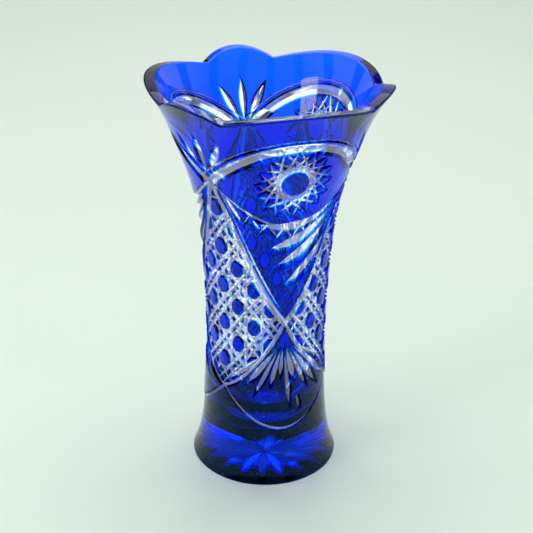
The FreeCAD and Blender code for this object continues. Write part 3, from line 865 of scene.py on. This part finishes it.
def sort_casing(mesh, layout, cuts, form):
    """The cut casing as a mesh for each panel; crumbs are left out."""
    points, corners, sizes, patches = arrays_of(mesh)
    labels = part_labels(len(points), corners, sizes)
    starts = np.concatenate([[0], np.cumsum(sizes)[:-1]])
    face_label = labels[corners[starts]]
    homes = {}
    crumb = (0.7 * MM) ** 3
    for label in np.unique(labels[corners]):
        spots = points[labels == label]
        if np.prod(np.maximum(np.ptp(spots, axis=0), 1e-5)) < crumb:
            continue
        homes.setdefault(home_of(layout, cuts, form, spots), []).append(label)
    meshes = {}
    for home, members in homes.items():
        faces = np.isin(face_label, members)
        loops = np.repeat(faces, sizes)
        used, renumbered = np.unique(corners[loops], return_inverse=True)
        meshes[home] = make_mesh(home, points[used], renumbered, sizes[faces], patches[faces])
    return meshes


def finish_faces(mesh, form):
    """Smooth normals within each patch, sharp between patches, and the bare-glass mask."""
    points, corners, sizes, patches = arrays_of(mesh)
    count = len(sizes)
    normals = np.zeros(count * 3)
    mesh.polygon_normals.foreach_get("vector", normals)
    normals = normals.reshape(-1, 3)
    areas = np.zeros(count)
    mesh.polygons.foreach_get("area", areas)
    face_of = np.repeat(np.arange(count), sizes)
    key = corners.astype(np.int64) * (int(patches.max()) + 1) + patches[face_of]
    group, inverse = np.unique(key, return_inverse=True)
    summed = np.zeros((len(group), 3))
    np.add.at(summed, inverse, (normals * areas[:, None])[face_of])
    smooth = summed[inverse]
    smooth /= np.maximum(np.linalg.norm(smooth, axis=1), 1e-20)[:, None]
    own = normals[face_of]
    spots = points[corners]
    radius = np.hypot(spots[:, 0], spots[:, 1])
    slope = form.slope(spots[:, 2])
    turned = np.column_stack([spots[:, :2] / np.maximum(radius, 1e-9)[:, None], -slope])
    turned /= np.linalg.norm(turned, axis=1)[:, None]
    facing = np.sign(np.einsum("ij,ij->i", turned, own))[:, None]
    on_side = np.isin(patches[face_of], (OUTSIDE, FUSED)) & (np.abs(own[:, 2]) < 0.9)
    smooth = np.where(on_side[:, None], turned * facing, smooth)
    strays = np.einsum("ij,ij->i", smooth, own) < math.cos(math.radians(38))
    smooth[strays] = own[strays]
    mesh.polygons.foreach_set("use_smooth", np.ones(count, bool))
    mesh.normals_split_custom_set(smooth)
    bare = mesh.attributes.new("bare", "FLOAT", "FACE")
    bare.data.foreach_set("value", (patches != FUSED).astype(np.float32))


_workshop = {}


def workshop(scene):
    """Cuts both glasses once and keeps the results for the operators."""
    if not _workshop:
        form, layout, cuts = Form(scene), Layout(scene), scene.vase_cuts
        wheels = Wheels(form)
        bounding_cuts(wheels, cuts, layout)
        star_cuts(wheels, cuts, layout)
        feather_cuts(wheels, cuts, layout)
        fan_cuts(wheels, cuts, layout)
        petal_cuts(wheels, cuts, layout)
        cane_cuts(wheels, cuts, layout)
        base_cuts(wheels, cuts)
        crystal = carve(crystal_mesh(form), wheels.meshes)
        casing = carve(casing_mesh(form), wheels.meshes + [foot_wheel(form, layout)])
        _workshop.update(sort_casing(casing, layout, cuts, form), crystal=crystal, form=form)
    return _workshop


# ---------------------------------------------------------------- materials

def add_node(tree, kind, inputs, **settings):
    """A node with its settings, and each input given a value or linked from a socket."""
    node = tree.nodes.new(kind)
    for name, value in settings.items():
        setattr(node, name, value)
    for name, value in inputs.items():
        if isinstance(value, bpy.types.NodeSocket):
            tree.links.new(value, node.inputs[name])
        else:
            node.inputs[name].default_value = value
    return node


def arithmetic(tree, operation, *values):
    """The output of a math node."""
    return add_node(tree, "ShaderNodeMath", dict(enumerate(values)),
                    operation=operation).outputs[0]


def ramp(tree, value, low, high, to_low, to_high, shape="LINEAR"):
    """A value carried from one range to another."""
    return add_node(tree, "ShaderNodeMapRange",
                    {"Value": value, "From Min": low, "From Max": high,
                     "To Min": to_low, "To Max": to_high},
                    interpolation_type=shape).outputs["Result"]


def blend(tree, factor, first, second):
    """A colour between two others."""
    return add_node(tree, "ShaderNodeMix",
                    {"Factor": factor, "A": (*first, 1.0), "B": (*second, 1.0)},
                    data_type="RGBA").outputs["Result"]


def polish_group():
    """Group of the marks that wheels and polishing leave: roughness, height and cords."""
    known = bpy.data.node_groups.get("wheel_polish")
    if known:
        return known
    group = bpy.data.node_groups.new("wheel_polish", "ShaderNodeTree")
    for name, value in (("Scale", 1.0), ("Roughness", 0.01), ("Wear", 0.02)):
        socket = group.interface.new_socket(name, in_out="INPUT", socket_type="NodeSocketFloat")
        socket.default_value = value
    for name in ("Roughness", "Height", "Cords"):
        group.interface.new_socket(name, in_out="OUTPUT", socket_type="NodeSocketFloat")
    given = add_node(group, "NodeGroupInput", {}).outputs
    place = add_node(group, "ShaderNodeTexCoord", {}).outputs["Object"]

    def noise(scale, detail):
        size = arithmetic(group, "MULTIPLY", given["Scale"], scale)
        return add_node(group, "ShaderNodeTexNoise",
                        {"Vector": place, "Scale": size, "Detail": detail}).outputs["Fac"]

    wear = arithmetic(group, "MULTIPLY_ADD", noise(420.0, 3.0), given["Wear"],
                      given["Roughness"])
    add_node(group, "NodeGroupOutput",
             {"Roughness": wear, "Height": noise(90.0, 2.0), "Cords": noise(26.0, 1.0)})
    return group


def glass_material(name, look, tint, deep_tint, bump, absorb=None, density=0.0, clear=1.0,
                   roughness=0.004, mirrored=(1.0, 1.0, 1.0)):
    """Polished glass whose fused faces let light straight through."""
    material = bpy.data.materials.new(name)
    material.use_nodes = True
    tree = material.node_tree
    tree.nodes.clear()
    marks = add_node(tree, "ShaderNodeGroup", {}, node_tree=polish_group())
    marks.inputs["Roughness"].default_value = roughness
    marks.inputs["Wear"].default_value = 0.012
    ripple = add_node(tree, "ShaderNodeBump", {"Strength": bump, "Distance": 0.2 * MM,
                                               "Height": marks.outputs["Height"]})
    mask = add_node(tree, "ShaderNodeAttribute", {}, attribute_name="bare")
    glass = add_node(tree, "ShaderNodeBsdfPrincipled", {
        "Transmission Weight": clear, "IOR": look.crystal_ior,
        "Specular Tint": (*mirrored, 1.0), "Roughness": marks.outputs["Roughness"],
        "Base Color": blend(tree, marks.outputs["Cords"], tint, deep_tint),
        "Normal": ripple.outputs["Normal"], "Alpha": mask.outputs["Fac"]})
    faces = {"Surface": glass.outputs[0]}
    if absorb is not None:
        faces["Volume"] = add_node(tree, "ShaderNodeVolumeAbsorption",
                                   {"Color": (*absorb, 1.0), "Density": density}).outputs[0]
    add_node(tree, "ShaderNodeOutputMaterial", faces)
    return material


def crystal_material(scene):
    look = scene.vase_look
    known = bpy.data.materials.get("polished_crystal")
    return known or glass_material("polished_crystal", look, tuple(look.crystal),
                                   tuple(0.995 * c for c in look.crystal), 0.12)


def cut_material(scene):
    """The bottoms of the cuts: crystal with the satin that a wheel leaves."""
    look = scene.vase_look
    known = bpy.data.materials.get("wheel_cut_crystal")
    return known or glass_material("wheel_cut_crystal", look, (1.0, 1.0, 1.0), (0.96, 0.98, 0.97),
                                   0.2, clear=look.cut_clear, roughness=0.03)


def cobalt_material(scene):
    look = scene.vase_look
    known = bpy.data.materials.get("polished_cobalt")
    return known or glass_material("polished_cobalt", look, tuple(look.cobalt),
                                   tuple(c * 0.93 for c in look.cobalt), 0.12,
                                   tuple(look.cobalt_body), look.cobalt_density,
                                   mirrored=tuple(look.cobalt_mirror))


def show_piece(scene, key, name, node, material):
    """Puts one finished mesh in the scene in place of its node."""
    shop = workshop(scene)
    if key not in shop:
        raise RuntimeError("the cuts left no piece for %s" % node)
    mesh = shop[key]
    finish_faces(mesh, shop["form"])
    mesh.materials.clear()
    mesh.materials.append(material)
    if key == "crystal":
        mesh.materials.append(cut_material(scene))
        kinds = arrays_of(mesh)[3]
        mesh.polygons.foreach_set("material_index", (kinds >= FIRST_FLANK).astype(np.int32))
    piece = bpy.data.objects.new(name, mesh)
    mesh.name = name
    scene.collection.objects.link(piece)
    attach(piece, "root")
    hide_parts(node)
    return piece


# ---------------------------------------------------------------- operators

class VASE_OT_stage(bpy.types.Operator):
    """Camera, pale floor and soft studio light"""
    bl_idname = "vase.stage"
    bl_label = "Studio"

    def execute(self, context):
        scene = context.scene
        self.camera(scene)
        self.floor(scene)
        self.surround(scene)
        self.lamps(scene)
        scene.view_settings.view_transform = "Standard"
        scene.cycles.transparent_max_bounces = 48
        scene.cycles.transmission_bounces = 24
        scene.cycles.max_bounces = 28
        return {"FINISHED"}

    def camera(self, scene):
        """Stands in front and a little to the left of lens panel 1, looking down at it."""
        data = bpy.data.cameras.new("camera")
        data.sensor_width = 36.0
        data.lens = 75.65
        data.clip_start = 0.01
        camera = bpy.data.objects.new("camera", data)
        scene.collection.objects.link(camera)
        scene.camera = camera
        heading = math.radians(FRONT - 17.9)
        distance, height, pitch, roll = 0.6141, 0.439, math.radians(26.68), math.radians(-0.82)
        camera.location = (distance * math.cos(heading), distance * math.sin(heading), height)
        look = Vector((-math.cos(heading) * math.cos(pitch),
                       -math.sin(heading) * math.cos(pitch), -math.sin(pitch)))
        camera.rotation_euler = (Quaternion(look, roll)
                                 @ look.to_track_quat("-Z", "Y")).to_euler()

    def floor(self, scene):
        """A wide round sheet, finely ringed near the vase, with a painted glow seen through the
        glass that fades out near the foot as a painted shadow.
        """
        look = scene.vase_look
        turns = np.arange(96) * 360.0 / 96
        radii = np.geomspace(0.02, 6.0, 30)
        rings = [ring(radius, 0.0, turns) for radius in radii]
        rings += [ring(radius, -0.01, turns) for radius in radii[::-1]]
        mesh = lathe("floor", rings, [0] * (len(rings) + 1), (0, 0, 0), (0, 0, -0.01))
        mesh.flip_normals()
        floor = bpy.data.objects.new("floor", mesh)
        scene.collection.objects.link(floor)
        material = bpy.data.materials.new("floor_sheet")
        material.use_nodes = True
        tree = material.node_tree
        tree.nodes.clear()
        fibre = add_node(tree, "ShaderNodeTexNoise", {"Scale": 9.0, "Detail": 6.0})
        shade = blend(tree, fibre.outputs["Fac"], [c * 0.97 for c in look.floor],
                      [min(c * 1.03, 1.0) for c in look.floor])
        # Painted glow and painted shadow: the sheet glows only for rays that come through the
        # glass, and the glow fades to nothing towards the foot, a painted shadow under the vase.
        ray = add_node(tree, "ShaderNodeLightPath", {}).outputs
        spot = add_node(tree, "ShaderNodeNewGeometry", {}).outputs["Position"]
        away = add_node(tree, "ShaderNodeVectorMath", {0: spot}, operation="LENGTH")
        clear = ramp(tree, away.outputs["Value"], 0.9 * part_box("foot_casing")[1].x,
                     PAINTED_SHADE_REACH, 0.0, look.painted_floor_glow)
        lift = arithmetic(tree, "MULTIPLY", ray["Is Transmission Ray"], clear)
        # The emission here is the painted glow, not a lamp.
        sheet = add_node(tree, "ShaderNodeBsdfPrincipled", {
            "Roughness": 0.55, "Specular IOR Level": 0.25, "Base Color": shade,
            "Emission Color": shade, "Emission Strength": lift})
        add_node(tree, "ShaderNodeOutputMaterial", {"Surface": sheet.outputs[0]})
        mesh.materials.append(material)

    def surround(self, scene):
        """A pale wall behind the vase and a dimmer room in front, with dark flags between.

        Light through the glass is lifted, as the many white walls of a studio lift it;
        light mirrored off its outside is not, so the cobalt keeps its depth.
        """
        look = scene.vase_look
        world = bpy.data.worlds.new("studio")
        scene.world = world
        world.use_nodes = True
        tree = world.node_tree
        tree.nodes.clear()
        plain = add_node(tree, "ShaderNodeBackground",
                         {"Color": (*look.sky, 1.0), "Strength": look.sky_power})
        place = add_node(tree, "ShaderNodeTexCoord", {}).outputs["Generated"]
        split = add_node(tree, "ShaderNodeSeparateXYZ", {0: place}).outputs
        behind = ramp(tree, split["Y"], -0.45, 0.25, look.room_power, look.wall_power,
                      "SMOOTHSTEP")
        around = arithmetic(tree, "ARCTAN2", split["Y"], split["X"])
        wave = arithmetic(tree, "SINE", arithmetic(tree, "MULTIPLY", around, look.flags))
        power = arithmetic(tree, "MULTIPLY", behind,
                           ramp(tree, wave, 0.45, 0.7, 1.0, look.flag_depth))
        ray = add_node(tree, "ShaderNodeLightPath", {}).outputs
        for kind, boost in (("Is Transmission Ray", look.through_boost),
                            ("Is Diffuse Ray", look.matte_boost)):
            power = arithmetic(tree, "MULTIPLY", power,
                               ramp(tree, ray[kind], 0.0, 1.0, 1.0, boost))
        room = add_node(tree, "ShaderNodeBackground",
                        {"Color": (0.95, 1.0, 0.96, 1.0), "Strength": power})
        choose = add_node(tree, "ShaderNodeMixShader", {0: ray["Is Camera Ray"],
                                                        1: room.outputs[0],
                                                        2: plain.outputs[0]})
        add_node(tree, "ShaderNodeOutputWorld", {"Surface": choose.outputs[0]})

    def lamps(self, scene):
        """A large overhead panel and a softer one from the side."""
        for name, place, size, power in (
                ("overhead_panel", (0.15, 0.5, 1.5), 1.2, 6.5),
                ("side_panel", (-1.2, -0.3, 0.9), 0.5, 3.0),
                ("front_panel", (-0.7, -1.5, 1.3), 0.7, 4.0)):
            data = bpy.data.lights.new(name, "AREA")
            data.size = size
            data.energy = power
            lamp = bpy.data.objects.new(name, data)
            scene.collection.objects.link(lamp)
            lamp.location = place
            lamp.visible_glossy = name != "front_panel"
            aim = Vector((0, 0, 0.12)) - Vector(place)
            lamp.rotation_euler = aim.to_track_quat("-Z", "Y").to_euler()


class VASE_OT_crystal(bpy.types.Operator):
    """The clear crystal vessel with its cavity and the cuts' polished bottoms"""
    bl_idname = "vase.crystal"
    bl_label = "Crystal vessel"

    def execute(self, context):
        show_piece(context.scene, "crystal", "clear_vessel", "crystal_body",
                   crystal_material(context.scene))
        return {"FINISHED"}


class VASE_OT_rim(bpy.types.Operator):
    """The cobalt band under the scalloped lip, with its fans of splits"""
    bl_idname = "vase.rim"
    bl_label = "Rim band"

    def execute(self, context):
        show_piece(context.scene, "rim", "cobalt_rim_band", "rim_casing",
                   cobalt_material(context.scene))
        return {"FINISHED"}


class VASE_OT_foot(bpy.types.Operator):
    """The cobalt foot and underside with the star cut through it"""
    bl_idname = "vase.foot"
    bl_label = "Foot"

    def execute(self, context):
        show_piece(context.scene, "foot", "cobalt_foot", "foot_casing",
                   cobalt_material(context.scene))
        return {"FINISHED"}


def show_group(context, key, name, node):
    """One piece for each sector."""
    for sector in range(1, SECTORS + 1):
        show_piece(context.scene, "%s_%d" % (key, sector), "%s_%d" % (name, sector),
                   "%s_%d" % (node, sector), cobalt_material(context.scene))
    return {"FINISHED"}


class VASE_OT_lenses(bpy.types.Operator):
    """The eye-shaped cobalt fields round the stars"""
    bl_idname = "vase.lenses"
    bl_label = "Lens panels"

    def execute(self, context):
        return show_group(context, "lens", "cobalt_lens", "lens_panel")


class VASE_OT_buttons(bpy.types.Operator):
    """The many-sided button at the middle of each star"""
    bl_idname = "vase.buttons"
    bl_label = "Star buttons"

    def execute(self, context):
        return show_group(context, "button", "cobalt_star_button", "star_button")


class VASE_OT_points(bpy.types.Operator):
    """The pointed cobalt panels with feather cuts"""
    bl_idname = "vase.points"
    bl_label = "Feathered panels"

    def execute(self, context):
        return show_group(context, "v", "cobalt_feathered_panel", "v_panel")


class VASE_OT_cane(bpy.types.Operator):
    """The raised buttons of the cane fields"""
    bl_idname = "vase.cane"
    bl_label = "Cane buttons"

    def execute(self, context):
        return show_group(context, "cane", "cobalt_cane_field", "cane_buttons")


class VASE_OT_petals(bpy.types.Operator):
    """The cobalt petals over the foot, with their fans of splits"""
    bl_idname = "vase.petals"
    bl_label = "Petals"

    def execute(self, context):
        return show_group(context, "petal", "cobalt_petal", "petal_panel")


class VASE_PT_sidebar(bpy.types.Panel):
    """Lists the vase's pieces and sizes"""
    bl_idname = "VASE_PT_sidebar"
    bl_label = "Cut crystal vase"
    bl_space_type = "VIEW_3D"
    bl_region_type = "UI"
    bl_category = "Vase"

    def draw(self, context):
        layout = self.layout
        for operator in OPERATORS:
            layout.operator(operator.bl_idname)
        for group in (context.scene.vase_form, context.scene.vase_cuts, context.scene.vase_look):
            box = layout.box()
            for name in group.bl_rna.properties.keys():
                if name not in ("rna_type", "name"):
                    box.prop(group, name)


OPERATORS = (VASE_OT_stage, VASE_OT_crystal, VASE_OT_rim, VASE_OT_lenses, VASE_OT_buttons,
             VASE_OT_points, VASE_OT_cane, VASE_OT_petals, VASE_OT_foot)
CLASSES = (VaseForm, VaseCuts, VaseLook) + OPERATORS + (VASE_PT_sidebar,)


def register():
    for cls in CLASSES:
        bpy.utils.register_class(cls)
    bpy.types.Scene.vase_form = PointerProperty(type=VaseForm)
    bpy.types.Scene.vase_cuts = PointerProperty(type=VaseCuts)
    bpy.types.Scene.vase_look = PointerProperty(type=VaseLook)


def unregister():
    for name in ("vase_form", "vase_cuts", "vase_look"):
        delattr(bpy.types.Scene, name)
    for cls in reversed(CLASSES):
        bpy.utils.unregister_class(cls)


def main():
    """Builds the whole scene."""
    register()
    for operator in OPERATORS:
        getattr(bpy.ops.vase, operator.bl_idname.split(".")[1])()


if __name__ == "__main__":
    main()
